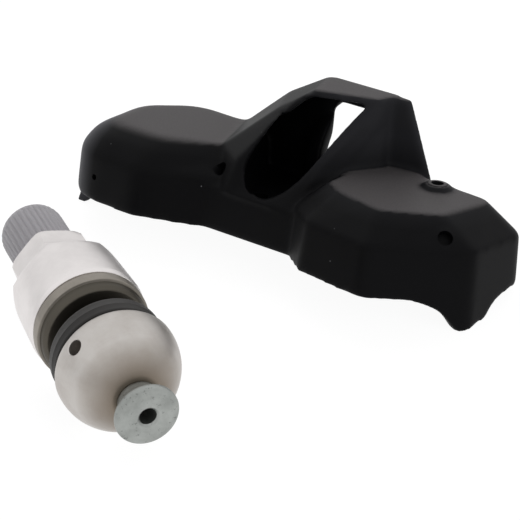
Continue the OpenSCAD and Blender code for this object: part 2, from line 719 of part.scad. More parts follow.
module valve_cap() {
    bore = stem_d / 2 + 0.08;
    r = cap_d / 2;
    round_r = 1;
    rib_angle = 360 / cap_ribs;
    color([0.45, 0.44, 0.46]) valve_on_floor() difference() {
        union() {
            translate([0, 0, cap_s]) linear_extrude(cap_len - round_r - 0.6) polygon([
                for (i = [0 : cap_ribs - 1]) for (p = [[0, r - cap_rib_h], [0.35, r - cap_rib_h],
                                                       [0.5, r], [0.85, r]])
                    [p[1] * cos(rib_angle * (i + p[0])), p[1] * sin(rib_angle * (i + p[0]))]]);
            rotate_extrude() polygon(concat(
                [[0, cap_s + 1], [r - cap_rib_h, cap_s + 1], [r - cap_rib_h, cap_end_s - round_r]],
                [for (a = [15 : 15 : 75]) [r - cap_rib_h - round_r * (1 - cos(a)),
                                           cap_end_s - round_r * (1 - sin(a))]],
                [[r - cap_rib_h - round_r, cap_end_s], [0, cap_end_s]]));
        }
        translate([0, 0, cap_s - past]) cylinder(r = bore, h = cap_len - cap_roof_t + past);
    }
}

module cap_seal() {
    color([0.15, 0.15, 0.15]) valve_on_floor()
        translate([0, 0, cap_end_s - cap_roof_t - cap_seal_t - seat_gap]) difference() {
            cylinder(r = stem_d / 2 - seat_gap, h = cap_seal_t);
            translate([0, 0, -past]) cylinder(r = core_pin_d, h = cap_seal_t + 2 * past);
        }
}

// Screw with a flared head, drilled through so that the tyre's air reaches the stem
module fixing_screw() {
    rear_s = -head_out + 2.6;
    rim_s = -head_out + 1.2;
    head_r = head_d / 2;
    bore = screw_bore_d / 2;
    color([0.5, 0.5, 0.5]) valve_on_floor() rotate_extrude() polygon([
        [bore, -head_out + 0.3], [bore + 0.4, -head_out], [head_r * 0.6, -head_out + 0.05],
        [head_r - 0.5, -head_out + 0.2], [head_r - 0.1, -head_out + 0.5], [head_r, rim_s - 0.4],
        [head_r, rim_s], [head_r - 0.2, rim_s + 0.3], [neck_d / 2, rear_s], [neck_d / 2, ball_flat_s - seat_gap],
        [shank_d / 2, ball_flat_s - seat_gap], [shank_d / 2, ball_flat_s + shank_len - 0.4],
        [shank_d / 2 - 0.4, ball_flat_s + shank_len], [bore, ball_flat_s + shank_len]]);
}

module core_barrel() {
    r = core_d / 2;
    groove = barrel_low_s + 1.2;
    bore = core_pin_d / 2 + pin_gap;
    color([0.75, 0.62, 0.3]) valve_on_floor() rotate_extrude() polygon([
        [bore, barrel_low_s], [r - 0.2, barrel_low_s], [r, barrel_low_s + 0.2], [r, groove],
        [r - gasket_groove, groove], [r - gasket_groove, groove + 1], [r, groove + 1], [r, core_tip_s],
        [bore, core_tip_s], [bore, spring_room_top_s], [spring_room_r, spring_room_top_s],
        [spring_room_r, spring_low_s], [bore, spring_low_s]]);
}

module core_gasket() {
    r = core_d / 2;
    groove = barrel_low_s + 1.2;
    color([0.6, 0.1, 0.08]) valve_on_floor()
        ring(r + 0.03, r - gasket_groove + 0.02, groove + seat_gap, groove + 1 - seat_gap);
}

module core_pin() {
    low = core_tip_s + 0.4 - core_pin_len;
    head_t = 0.5;
    color([0.7, 0.68, 0.6]) valve_on_floor() {
        ring(core_pin_d / 2, 0, low, core_tip_s + 0.4);
        ring(pin_collar_r, 0, pin_collar_s, pin_collar_s + pin_collar_t);
        ring(core_seal_r - 0.3, 0, barrel_low_s - core_seal_t - head_t - 2 * seat_gap,
             barrel_low_s - core_seal_t - 2 * seat_gap);
    }
}

module core_seal() {
    color([0.1, 0.1, 0.1]) valve_on_floor()
        ring(core_seal_r, core_pin_d / 2 + 0.02, barrel_low_s - core_seal_t - seat_gap,
             barrel_low_s - seat_gap);
}

module core_spring() {
    color([0.7, 0.7, 0.72]) valve_on_floor()
        coil_spring(spring_r, spring_wire_r, spring_low_s + spring_wire_r + seat_gap,
                    pin_collar_s - spring_wire_r - seat_gap, spring_turns);
}

housing_shell();
resin_seal();
circuit_board();
coin_cell();
cell_top_tab();
cell_bottom_tab();
pressure_chip();
controller_chip();
port_gasket();
port_filter();
coil_core();
coil_winding();
crystal_can();
tuning_capacitors();
radio_antenna();
valve_stem();
rim_seal();
clamp_washer();
clamp_nut();
valve_cap();
cap_seal();
fixing_screw();
core_barrel();
core_gasket();
core_pin();
core_seal();
core_spring();
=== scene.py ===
import math

import bmesh
import bpy
from mathutils import Matrix, Vector


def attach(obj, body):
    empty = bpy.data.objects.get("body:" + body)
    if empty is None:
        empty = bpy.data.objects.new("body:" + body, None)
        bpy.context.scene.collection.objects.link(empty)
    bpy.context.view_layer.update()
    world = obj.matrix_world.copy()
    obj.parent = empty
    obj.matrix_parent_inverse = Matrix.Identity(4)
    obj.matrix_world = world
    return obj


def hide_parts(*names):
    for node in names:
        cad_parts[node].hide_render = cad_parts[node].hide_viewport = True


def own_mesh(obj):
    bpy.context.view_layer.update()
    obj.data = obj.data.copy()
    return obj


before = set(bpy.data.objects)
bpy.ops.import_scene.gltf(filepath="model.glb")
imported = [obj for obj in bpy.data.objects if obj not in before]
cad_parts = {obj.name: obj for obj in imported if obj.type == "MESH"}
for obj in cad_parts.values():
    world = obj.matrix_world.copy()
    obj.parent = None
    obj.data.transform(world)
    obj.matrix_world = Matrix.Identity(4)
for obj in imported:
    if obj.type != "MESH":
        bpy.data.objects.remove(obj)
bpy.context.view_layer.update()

# The photograph is taken from in front and to the right, about a third of a metre away, with a
# long lens, so the housing's front and right end show and its flat tops are seen at a slant.
camera_data = bpy.data.cameras.new("camera")
camera_data.sensor_width = 36
camera_data.lens = 145.385
camera_data.clip_start = 0.01
camera = bpy.data.objects.new("camera", camera_data)
camera.location = (0.173961, -0.208309, 0.185145)
camera.rotation_euler = [math.radians(turn) for turn in (56.90225, 3.11071, 35.87001)]
bpy.context.scene.collection.objects.link(camera)
bpy.context.scene.camera = camera
bpy.context.scene.view_settings.view_transform = "Standard"


# The table is a sheet of white paper that runs on past the picture, and the room round it is a
# white tent: both show white to the eye and in the metal, and the paper keeps a soft shadow.
MM = 0.001
paper_size = 4
paper_glow = 0.94
tent_level = 0.3
gap_low = 0.02
gap_high = 0.45
gap_level = 0.7


def linear(colour):
    """Linear colour from an sRGB hex value."""
    parts = [int(colour[i:i + 2], 16) / 255 for i in (0, 2, 4)]
    return [c / 12.92 if c <= 0.04045 else ((c + 0.055) / 1.055) ** 2.4 for c in parts] + [1]


def feed(tree, node, inputs):
    """Sets each input of the node to its value, or links it where the value is a socket."""
    for socket, value in inputs:
        if isinstance(value, bpy.types.NodeSocket):
            tree.links.new(value, node.inputs[socket])
        else:
            node.inputs[socket].default_value = value


def add(tree, kind, inputs=(), **settings):
    """Adds a node with its settings, and feeds its inputs."""
    node = tree.nodes.new("ShaderNode" + kind)
    for name, value in settings.items():
        setattr(node, name, value)
    feed(tree, node, inputs)
    return node


def looked_at(tree, path):
    """Whether a ray comes from the eye, straight, by a reflection or through a clear body."""
    seen = add(tree, "Math", [(0, path["Is Camera Ray"]), (1, path["Is Glossy Ray"])],
               operation="MAXIMUM")
    return add(tree, "Math", [(0, seen.outputs[0]), (1, path["Is Transmission Ray"])],
               operation="MAXIMUM").outputs[0]


def object_from(name, bm, place=None):
    """An object with the mesh, moved to its place in the frame."""
    if place:
        bmesh.ops.transform(bm, matrix=place, verts=bm.verts)
    mesh = bpy.data.meshes.new(name)
    bm.to_mesh(mesh)
    bm.free()
    made = bpy.data.objects.new(name, mesh)
    bpy.context.scene.collection.objects.link(made)
    return made


bm = bmesh.new()
bmesh.ops.create_grid(bm, x_segments=1, y_segments=1, size=paper_size / 2)
paper = object_from("paper", bm)
white_paper = bpy.data.materials.new("matt white paper")
white_paper.use_nodes = True
tree = white_paper.node_tree
tree.nodes.clear()
seen = looked_at(tree, add(tree, "LightPath").outputs)
white = add(tree, "BsdfDiffuse", [("Color", linear("e8e8e8"))])
faint = add(tree, "BsdfDiffuse", [("Color", linear("6a6a6a"))])
glow = add(tree, "Emission", [("Color", linear("ffffff")), ("Strength", paper_glow)])
lit = add(tree, "AddShader", [(0, faint.outputs[0]), (1, glow.outputs[0])])
sheet = add(tree, "MixShader", [(0, seen), (1, white.outputs[0]), (2, lit.outputs[0])])
# Seen from below, the paper lets the underside show
below = add(tree, "NewGeometry").outputs["Backfacing"]
clear = add(tree, "BsdfTransparent")
sheet = add(tree, "MixShader", [(0, below), (1, sheet.outputs[0]), (2, clear.outputs[0])])
add(tree, "OutputMaterial", [("Surface", sheet.outputs[0])])
paper.data.materials.append(white_paper)

world = bpy.data.worlds.new("white tent")
world.use_nodes = True
tree = world.node_tree
tree.nodes.clear()
path = add(tree, "LightPath").outputs
seen = looked_at(tree, path)
tent = add(tree, "Background", [("Color", linear("ffffff")), ("Strength", tent_level)])
backdrop = add(tree, "Background", [("Color", linear("ffffff")), ("Strength", 1)])
# Metal sees the gap between the tent's cloth and the table as a darker band along the horizon
height = add(tree, "SeparateXYZ", [(0, add(tree, "TexCoord").outputs["Generated"])])
gap = add(tree, "MapRange", [("Value", height.outputs["Z"]), ("From Min", gap_low),
                             ("From Max", gap_high), ("To Min", gap_level)])
cloth = add(tree, "Background", [("Color", linear("ffffff")), ("Strength", gap.outputs[0])])
behind = add(tree, "MixShader", [(0, path["Is Glossy Ray"]), (1, backdrop.outputs[0]),
                                 (2, cloth.outputs[0])])
air = add(tree, "MixShader", [(0, seen), (1, tent.outputs[0]), (2, behind.outputs[0])])
add(tree, "OutputWorld", [("Surface", air.outputs[0])])
bpy.context.scene.world = world


# Three soft boxes: the main one behind and above, which lights the flat tops, one low on the
# left, which lights the valve, and a weak one on the right for the end wall.
def soft_box(name, place, size, power):
    """A round lamp, its width in m and its power in W, that faces the frame's zero."""
    lamp = bpy.data.lights.new(name, "AREA")
    lamp.shape = "DISK"
    lamp.size = size
    lamp.energy = power
    box = bpy.data.objects.new(name, lamp)
    box.location = place
    box.rotation_euler = (-Vector(place)).to_track_quat("-Z", "Y").to_euler()
    # The tent's cloth hides the lamp itself, so no hot spot shows in the metal
    box.visible_glossy = False
    bpy.context.scene.collection.objects.link(box)


soft_box("back_soft_box", (-0.22, 0.5, 0.5), 0.9, 3)
soft_box("left_soft_box", (-0.75, 0.1, 0.05), 0.5, 4)
soft_box("right_soft_box", (0.7, -0.1, 0.3), 0.6, 1.6)


# The housing is one injection moulding in black glass-filled nylon, about 76 mm long, with soft
# edges all round. Its walls are satin, and its flat tops are matt where the mould was spark eroded;
# the tops are painted paler, partly for that finish and partly as painted sheen.
feet_rise = 4.5
feet_reach = 17.8
lean = math.atan(feet_rise / feet_reach)
on_floor = (Matrix.Translation((-1.1 * MM, 16.6 * MM, -math.sin(lean) * MM))
            @ Matrix.Rotation(-lean, 4, "X") @ Matrix.Scale(MM, 4))
flat_top_z = 17
port_place = (25, 10.2, flat_top_z)
port_bore = 1
port_depth = 2.5
blind_r = 1.2
# Each blind hole is a place, two turns of its axis and a depth
blind_holes = (
    ((-7.35, -2.6, 14.2), (60, -31), 1.1),
    ((34, -1.6, 14.4), (48, 40), 1.4),
    ((-1.2, 0.4, 10.6), (0, 0), 1.1),
)
plug_play = 0.25
gate_place = (-27.6, -9.6, 8.8)
gate_tilt = (89, -8)
gate_r = 0.5
gate_depth = 0.7
# Thicker places of the real wall: the left arm under the band, and the strip that ends in the left
# foot. Each level is a height with its edges, and each edge is y and the two faces' x.
arm_levels = ((22, (5.4, -5.5, -3.6), (8, -6.4, -4.4), (14.3, -9, -7)),
              (24, (4.2, -1.3, -0.1), (6.6, -3.5, -1.3), (14.4, -6.8, -4.5)),
              (26, (6, 0.3, 1.4), (7.8, -0.8, 0.7), (14.5, -3.5, -1.2)),
              (28.1, (7.3, 2.7, 4.1), (9.2, 2.2, 3.8), (14.6, 0.3, 2.4)))
foot_levels = ((0.55, (-1.2, -37.6, -35.6), (1, -37.6, -35.6)),
               (8, (-1.2, -35.3, -33.4), (1.2, -35.4, -33.4)))
voxel = 0.33 * MM
soften_steps = 22
foot_top_z = 4
foot_share = 0.2
lobe_steps = 70
lobe_start = -12
lobe_blend = 5


def drill(bm, place, tilt, radius, low, high):
    """A round bar in the housing's own frame, from low to high along its turned axis."""
    turn = (Matrix.Rotation(math.radians(tilt[1]), 4, "Z")
            @ Matrix.Rotation(math.radians(tilt[0]), 4, "X"))
    middle = Matrix.Translation((0, 0, (low + high) / 2))
    bmesh.ops.create_cone(bm, cap_ends=True, segments=48, radius1=radius, radius2=radius,
                          depth=high - low,
                          matrix=on_floor @ Matrix.Translation(place) @ turn @ middle)


def turned(corners, steps=128, arc=None):
    """A shape turned on a lathe, in its own frame in mm. Each corner of its profile is a radius, a
    place along the axis and a rounding. An arc is the count of the corner that it is swept from, to
    the next one about the frame's zero, and its angle."""
    bm = bmesh.new()
    points = [bm.verts.new((radius, 0, along)) for radius, along, rounding in corners]
    for count, ends in enumerate(zip(points, points[1:] + points[:1])):
        if arc and count == arc[0]:
            bmesh.ops.spin(bm, geom=[ends[0]], axis=(0, -1, 0), angle=arc[1], steps=28)
        else:
            bm.edges.new(ends)
    bmesh.ops.remove_doubles(bm, verts=bm.verts, dist=0.02)
    bmesh.ops.edgeloop_fill(bm, edges=bm.edges)
    for point, (radius, along, rounding) in zip(points, corners):
        if rounding:
            bmesh.ops.bevel(bm, geom=[point], offset=rounding, offset_type="OFFSET", segments=3,
                            profile=0.5, affect="VERTICES", material=-1)
    bmesh.ops.delete(bm, geom=bm.faces, context="FACES_ONLY")
    on_axis = [edge for edge in bm.edges if max(vert.co.x for vert in edge.verts) < 0.001]
    bmesh.ops.delete(bm, geom=on_axis, context="EDGES")
    bmesh.ops.spin(bm, geom=bm.verts[:] + bm.edges[:], axis=(0, 0, 1), angle=2 * math.pi,
                   steps=steps, use_merge=True)
    bmesh.ops.remove_doubles(bm, verts=bm.verts, dist=0.0005)
    bmesh.ops.recalc_face_normals(bm, faces=bm.faces)
    return bm


def set_modifiers(made):
    """Puts the result of the modifiers into the piece's own mesh."""
    evaluated = made.evaluated_get(bpy.context.evaluated_depsgraph_get())
    mesh = bpy.data.meshes.new_from_object(evaluated)
    made.modifiers.clear()
    made.data = mesh


def cut(made, tool, operation="DIFFERENCE"):
    """Cuts the tool out of the piece, or joins it on, and takes the tool away."""
    work = made.modifiers.new("cut", "BOOLEAN")
    work.operation = operation
    work.solver = "MANIFOLD"
    work.object = tool
    set_modifiers(made)
    bpy.data.objects.remove(tool)


def finish_piece(made, material, body, node, sharp=40):
    """Smooth faces with crisp edges over the sharp angle, the material, and the piece's body and
    the node that it stands for."""
    made.data.name = made.name
    made.data.polygons.foreach_set("use_smooth", [True] * len(made.data.polygons))
    made.data.set_sharp_from_angle(angle=math.radians(sharp))
    made.data.materials.clear()
    made.data.materials.append(material)
    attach(made, body)
    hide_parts(node)


bm = bmesh.new()
bm.from_mesh(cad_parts["housing_shell"].data)
bmesh.ops.remove_doubles(bm, verts=bm.verts, dist=0.0005 * MM)
for levels in (arm_levels, foot_levels):
    for low, high in zip(levels, levels[1:]):
        block = [bm.verts.new(on_floor @ Vector((x, edge[0], level[0])))
                 for level in (low, high) for edge in level[1:] for x in edge[1:]]
        bmesh.ops.convex_hull(bm, input=block)
# The small holes are plugged before the skin is drawn and drilled after it, so they stay crisp
for place, tilt, depth in blind_holes:
    drill(bm, place, tilt, blind_r + plug_play, -depth - 0.1, 0)
drill(bm, port_place, (0, 0), port_bore + 0.6, -1.2, 0.6)
housing = object_from("sensor_housing", bm)
skin = housing.modifiers.new("skin", "REMESH")
skin.mode = "VOXEL"
skin.voxel_size = voxel
set_modifiers(housing)
# The feet keep their edges, and the left lobe, one long soft curve, is softened twice
upright = on_floor.inverted()
walls = housing.vertex_groups.new(name="walls")
lobe = housing.vertex_groups.new(name="left_lobe")
for vert in housing.data.vertices:
    own = upright @ vert.co
    above_feet = min(1, max(0, own.z - foot_top_z))
    in_lobe = min(1, max(0, (lobe_start - own.x) / lobe_blend))
    walls.add([vert.index], foot_share + (1 - foot_share) * above_feet, "REPLACE")
    lobe.add([vert.index], above_feet * in_lobe, "REPLACE")
for group, steps in (("walls", soften_steps), ("left_lobe", lobe_steps)):
    soften = housing.modifiers.new("soften", "SMOOTH")
    soften.factor = 0.5
    soften.iterations = steps
    soften.vertex_group = group
set_modifiers(housing)

bm = turned([(0.7, -0.8, 0), (0.7, 0.9, 0), (1.5, 0.9, 0.15), (1.95, 0.55, 0.15),
             (2.5, 0.1, 0.15), (3.1, -0.8, 0)], steps=64)
cut(housing, object_from("port_rim", bm, on_floor @ Matrix.Translation(port_place)), "UNION")

bm = bmesh.new()
for place, tilt, depth in blind_holes:
    drill(bm, place, tilt, blind_r, -depth, 3)
# The small mark on the left end is where the mould's gate was
drill(bm, gate_place, gate_tilt, gate_r, -gate_depth, 1)
drill(bm, port_place, (0, 0), port_bore, -port_depth, 3)
cut(housing, object_from("hole_tools", bm))


def surface(name):
    """A new material, its tree and shader, and the place of a point on the piece."""
    material = bpy.data.materials.new(name)
    material.use_nodes = True
    tree = material.node_tree
    place = add(tree, "TexCoord").outputs["Object"]
    return material, tree, tree.nodes["Principled BSDF"], place


def own_axes(tree, place, stand):
    """The place of a point in a part's own frame, in mm."""
    back = stand.inverted()
    return add(tree, "Mapping", [("Vector", place), ("Location", back.to_translation()),
                                 ("Rotation", back.to_euler()),
                                 ("Scale", (1 / MM, 1 / MM, 1 / MM))]).outputs[0]


# The pellets' pigment leaves a black that is not quite even, and the fine texture of the mould
# scatters light, so the skin is satin and never glossy.
nylon, tree, shader, place = surface("moulded black nylon, glass filled")
own = add(tree, "SeparateXYZ", [(0, own_axes(tree, place, on_floor))])
patches = add(tree, "TexNoise", [("Vector", place), ("Scale", 1 / (9 * MM)), ("Detail", 3)])
black = add(tree, "Mix", [(0, patches.outputs["Fac"]), (6, linear("080809")),
                          (7, linear("0e0e10"))], data_type="RGBA")
# The right of the bridge is painted paler: painted light, as if lit more from the right
high = add(tree, "MapRange", [("Value", own.outputs["Z"]), ("From Min", 15), ("From Max", 22)])
right = add(tree, "MapRange", [("Value", own.outputs["X"]), ("From Min", 0), ("From Max", 7)])
painted_light_mask = add(tree, "Math", [(0, high.outputs[0]), (1, right.outputs[0])], operation="MULTIPLY")
black = add(tree, "Mix", [(0, painted_light_mask.outputs[0]), (6, black.outputs[2]), (7, linear("29292c"))],
            data_type="RGBA")
# The left end is painted paler still: a painted sheen of the lamp on the left
painted_sheen = add(tree, "MapRange", [("Value", own.outputs["X"]), ("From Min", -28),
                                 ("From Max", -32)])
black = add(tree, "Mix", [(0, painted_sheen.outputs[0]), (6, black.outputs[2]), (7, linear("444448"))],
            data_type="RGBA")
# The real grain is about 0.05 mm; it is drawn at 0.25 mm so that the picture shows it
grain = add(tree, "TexNoise", [("Vector", place), ("Scale", 1 / (0.25 * MM)), ("Detail", 4),
                               ("Roughness", 0.6)]).outputs["Fac"]
# The tops face straight up in the housing's own frame, above its sloping sides. They are painted
# paler, partly for their spark-eroded matt finish and partly as a painted sheen of the light that
# grazes them.
face = add(tree, "NewGeometry").outputs["Normal"]
up = add(tree, "VectorMath", [(0, face), (1, (0, math.sin(lean), math.cos(lean)))],
         operation="DOT_PRODUCT")
level = add(tree, "MapRange", [("Value", up.outputs["Value"]), ("From Min", 0.86),
                               ("From Max", 1)])
high = add(tree, "MapRange", [("Value", own.outputs["Z"]), ("From Min", 16.2),
                              ("From Max", 16.7)])
top = add(tree, "Math", [(0, level.outputs[0]), (1, high.outputs[0])], operation="MULTIPLY")
etching_and_sheen = add(tree, "Mix", [(0, grain), (6, linear("383637")), (7, linear("5c595a"))],
             data_type="RGBA")
colour = add(tree, "Mix", [(0, top.outputs[0]), (6, black.outputs[2]), (7, etching_and_sheen.outputs[2])],
             data_type="RGBA")
# A few pale grains of dust and tiny knocks from handling
dust = add(tree, "TexVoronoi", [("Vector", place), ("Scale", 1 / (2.6 * MM))])
dust = add(tree, "MapRange", [("Value", dust.outputs["Distance"]), ("From Min", 0.05),
                              ("From Max", 0.035)])
rare = add(tree, "TexNoise", [("Vector", place), ("Scale", 1 / (5 * MM)), ("Detail", 1)])
rare = add(tree, "MapRange", [("Value", rare.outputs["Fac"]), ("From Min", 0.58),
                              ("From Max", 0.64)])
dust = add(tree, "Math", [(0, dust.outputs[0]), (1, rare.outputs[0])], operation="MULTIPLY")
colour = add(tree, "Mix", [(0, dust.outputs[0]), (6, colour.outputs[2]), (7, linear("77777a"))],
             data_type="RGBA")
dull = add(tree, "MapRange", [("Value", grain), ("To Min", 0.42), ("To Max", 0.56)])
bump = add(tree, "Bump", [("Height", grain), ("Strength", 0.25), ("Distance", 0.03 * MM)])
feed(tree, shader, [("Base Color", colour.outputs[2]), ("Roughness", dull.outputs[0]),
                    ("Normal", bump.outputs[0]), ("IOR", 1.5), ("Specular IOR Level", 0.07)])
finish_piece(housing, nylon, "sensor", "housing_shell", sharp=50)


# The valve's foot and stem are one piece, turned from aluminium bar and anodised in its natural
# silver: a ball that bears in the housing's seat, and a threaded stem that is drilled through. The
# small hole in the ball takes the rod that holds the foot while the nut is turned.
valve_axis = (Matrix.Translation((6.8 * MM, -28.4 * MM, 9.25 * MM))
              @ Matrix.Rotation(math.radians(58.5), 4, "Z")
              @ Matrix.Rotation(math.radians(-90), 4, "X") @ Matrix.Scale(MM, 4))
ball_r = 9.25
ball_flat = math.radians(22.2)
ball_edge = math.radians(93.1)
ball_top = 1.3
stem_r = 3.85
stem_len = 39.5
stem_thread_from = 9.2
air_r = 1.3
core_r = 2.35
core_from = 23.5
screw_bore_r = 2.55
screw_bore_end = -1.46
thread_pitch = 0.8
thread_depth = 0.25
rod_hole_r = 1.15
rod_hole_depth = 4
rod_hole_turn = 226
rod_hole_lean = 99


def thread(radius, low, high):
    """Corners of a screw thread's crests and roots. They are rings, which look like the helix."""
    turns = int((high - low) / thread_pitch)
    return [(radius - side * thread_depth, low + (turn + 0.5 * side) * thread_pitch, 0.05)
            for turn in range(turns) for side in (0, 1)]


def turned_metal(name, colour, shade, rough, ring_mm=0.12, ring_depth=0.004, pits=0, bloom_and_painted_shade=None):
    """A metal turned on the valve's axis: fine rings from the tool, slow stains, and pits if its
    plating is dull. bloom_and_painted_shade, if given, is where on the axis a painted shade starts,
    where it is full, and its colour."""
    material, tree, shader, place = surface(name)
    axis = add(tree, "SeparateXYZ", [(0, own_axes(tree, place, valve_axis))]).outputs
    across = add(tree, "CombineXYZ", [("X", axis["X"]), ("Y", axis["Y"])])
    radius = add(tree, "VectorMath", [(0, across.outputs[0])], operation="LENGTH")
    # The tool's path runs along the sides and across the faces, so its rings follow the sum of both
    path = add(tree, "Math", [(0, axis["Z"]), (1, radius.outputs["Value"])], operation="ADD")
    rings = add(tree, "TexNoise", [("W", path.outputs[0]), ("Scale", 1 / ring_mm), ("Detail", 2)],
                noise_dimensions="1D").outputs["Fac"]
    stains = add(tree, "TexNoise", [("Vector", place), ("Scale", 1 / (4 * MM)), ("Detail", 4),
                                    ("Roughness", 0.6)])
    stains = add(tree, "MapRange", [("Value", stains.outputs["Fac"]), ("From Min", 0.4),
                                    ("From Max", 0.75)])
    tint = add(tree, "Mix", [(0, stains.outputs[0]), (6, linear(colour)), (7, linear(shade))],
               data_type="RGBA")
    height = rings
    # Painted shade: along the axis the tint turns to another colour where the piece lies in shade
    if bloom_and_painted_shade:
        start, full, painted_shade_colour = bloom_and_painted_shade
        painted_light_mask = add(tree, "MapRange", [("Value", axis["Z"]), ("From Min", start),
                                        ("From Max", full)])
        tint = add(tree, "Mix", [(0, painted_light_mask.outputs[0]), (6, tint.outputs[2]),
                                 (7, linear(painted_shade_colour))], data_type="RGBA")
    if pits:
        spots = add(tree, "TexNoise", [("Vector", place), ("Scale", 1 / (0.7 * MM)),
                                       ("Detail", 3), ("Roughness", 0.7)])
        spots = add(tree, "MapRange", [("Value", spots.outputs["Fac"]), ("From Min", 0.6),
                                       ("From Max", 0.72), ("To Max", pits)])
        tint = add(tree, "Mix", [(0, spots.outputs[0]), (6, tint.outputs[2]),
                                 (7, linear("3c3c3a"))], data_type="RGBA")
        height = add(tree, "Math", [(0, rings), (1, spots.outputs[0])],
                     operation="SUBTRACT").outputs[0]
    dull = add(tree, "MapRange", [("Value", rings), ("To Min", rough - 0.05),
                                  ("To Max", rough + 0.07)])
    bump = add(tree, "Bump", [("Height", height), ("Strength", 0.6), ("Distance", ring_depth * MM)])
    feed(tree, shader, [("Base Color", tint.outputs[2]), ("Roughness", dull.outputs[0]),
                        ("Normal", bump.outputs[0]), ("Metallic", 1)])
    return material


def on_ball(angle, rounding):
    """A corner on the ball, at an angle from its pole."""
    return (ball_r * math.sin(angle), -ball_r * math.cos(angle), rounding)


bm = turned([(screw_bore_r, on_ball(ball_flat, 0)[1], 0.12), on_ball(ball_flat, 0),
             on_ball(ball_edge, 0), (9, 1, 0.2), (8.75, ball_top, 0.15), (stem_r, ball_top, 0.1)]
            + thread(stem_r, stem_thread_from, stem_len - 0.8)
            + [(stem_r - 0.4, stem_len, 0.15), (core_r, stem_len, 0.1), (core_r, core_from, 0),
               (air_r, core_from, 0), (air_r, screw_bore_end, 0),
               (screw_bore_r, screw_bore_end, 0)], arc=(1, ball_edge - ball_flat))
ball_foot = object_from("ball_foot", bm, valve_axis)
rod_axis = (valve_axis @ Matrix.Rotation(math.radians(rod_hole_turn), 4, "Z")
            @ Matrix.Rotation(math.radians(rod_hole_lean), 4, "Y"))
hole_end = ball_r - rod_hole_depth
mouth_r = rod_hole_r + 0.5
rod_hole = turned([(0, hole_end, 0), (rod_hole_r, hole_end, 0), (rod_hole_r, ball_r - 0.25, 0),
                   (mouth_r, ball_r + 0.25, 0), (mouth_r, ball_r + 0.8, 0),
                   (0, ball_r + 0.8, 0)], steps=48)
cut(ball_foot, object_from("rod_hole_tool", rod_hole, rod_axis))
# The ball is painted a warm darker brown towards its neck: a painted reflection and shade of the
# screw's head
silver = turned_metal("turned aluminium, natural anodised", "c6c2be", "b8b2ad", 0.44,
                      ring_mm=0.3, ring_depth=0.003, bloom_and_painted_shade=(-4.6, -9, "776b5d"))
finish_piece(ball_foot, silver, "sensor", "valve_stem", sharp=35)


# The grommet is moulded EPDM rubber. Its flange seals inside the rim, and its sleeve fills the
# valve hole. It is pushed over the stem by hand, and keeps the fine seam of its mould.
bore_r = 3.9
flange_low = 1.35
flange_high = 5.4
flange_r = 8.7
seam_z = 3.4
sleeve_r = 5.65
sleeve_high = 8.75


def rubber(name, colour, bloom_and_painted_shade, rough):
    """Rubber with a dull skin, and the paler bloom that comes out of it with age."""
    material, tree, shader, place = surface(name)
    bloom = add(tree, "TexNoise", [("Vector", place), ("Scale", 1 / (3 * MM)), ("Detail", 4),
                                   ("Roughness", 0.65)]).outputs["Fac"]
    # The real skin is about 0.03 mm coarse; it is drawn at 0.15 mm
    skin = add(tree, "TexNoise", [("Vector", place), ("Scale", 1 / (0.15 * MM)), ("Detail", 3)])
    tint = add(tree, "Mix", [(0, bloom), (6, linear(colour)), (7, linear(bloom_and_painted_shade))], data_type="RGBA")
    dull = add(tree, "MapRange", [("Value", bloom), ("To Min", rough - 0.08),
                                  ("To Max", rough + 0.08)])
    bump = add(tree, "Bump", [("Height", skin.outputs["Fac"]), ("Strength", 0.3),
                              ("Distance", 0.01 * MM)])
    feed(tree, shader, [("Base Color", tint.outputs[2]), ("Roughness", dull.outputs[0]),
                        ("Normal", bump.outputs[0]), ("IOR", 1.52), ("Specular IOR Level", 0.35)])
    return material


bm = turned([(bore_r, flange_low, 0.1), (8.2, flange_low, 0.1), (8.2, 1.8, 0.05),
             (flange_r, 2, 0.2), (flange_r, seam_z - 0.1, 0), (flange_r + 0.06, seam_z, 0.04),
             (flange_r, seam_z + 0.1, 0), (flange_r, flange_high - 0.5, 0.4),
             (8.3, flange_high, 0.35), (sleeve_r, flange_high, 0.3), (sleeve_r, sleeve_high, 0.15),
             (bore_r, sleeve_high, 0.1)])
grommet = object_from("rim_grommet", bm, valve_axis)
black_rubber = rubber("black EPDM rubber", "232221", "2f2d2c", 0.55)
finish_piece(grommet, black_rubber, "sensor", "rim_seal", sharp=45)


# The washer is turned steel with an olive chromate finish. It spreads the nut's force over the rim.
# Its front is stepped in to sit in the wheel's recess, and the step is painted darker: painted
# shade of the recess. Its rim keeps the plain olive.
washer_low = 8.8
washer_high = 12.55
washer_r = 8.8
step_r = 8.3
step_z = 10.4
bm = turned([(bore_r, washer_low, 0.15), (7.75, washer_low, 0.25), (8.2, 9.5, 0.2),
             (step_r, step_z, 0.08), (8.72, 10.5, 0.12), (washer_r, 12.1, 0.08),
             (step_r, 12.5, 0.05), (bore_r, washer_high, 0.15)])
washer = object_from("clamp_washer_ring", bm, valve_axis)
olive = turned_metal("turned steel, olive chromate", "9b958d", "88837c", 0.46, ring_mm=0.25,
                     bloom_and_painted_shade=(10.55, 10.35, "57534c"))
finish_piece(washer, olive, "sensor", "clamp_washer", sharp=30)


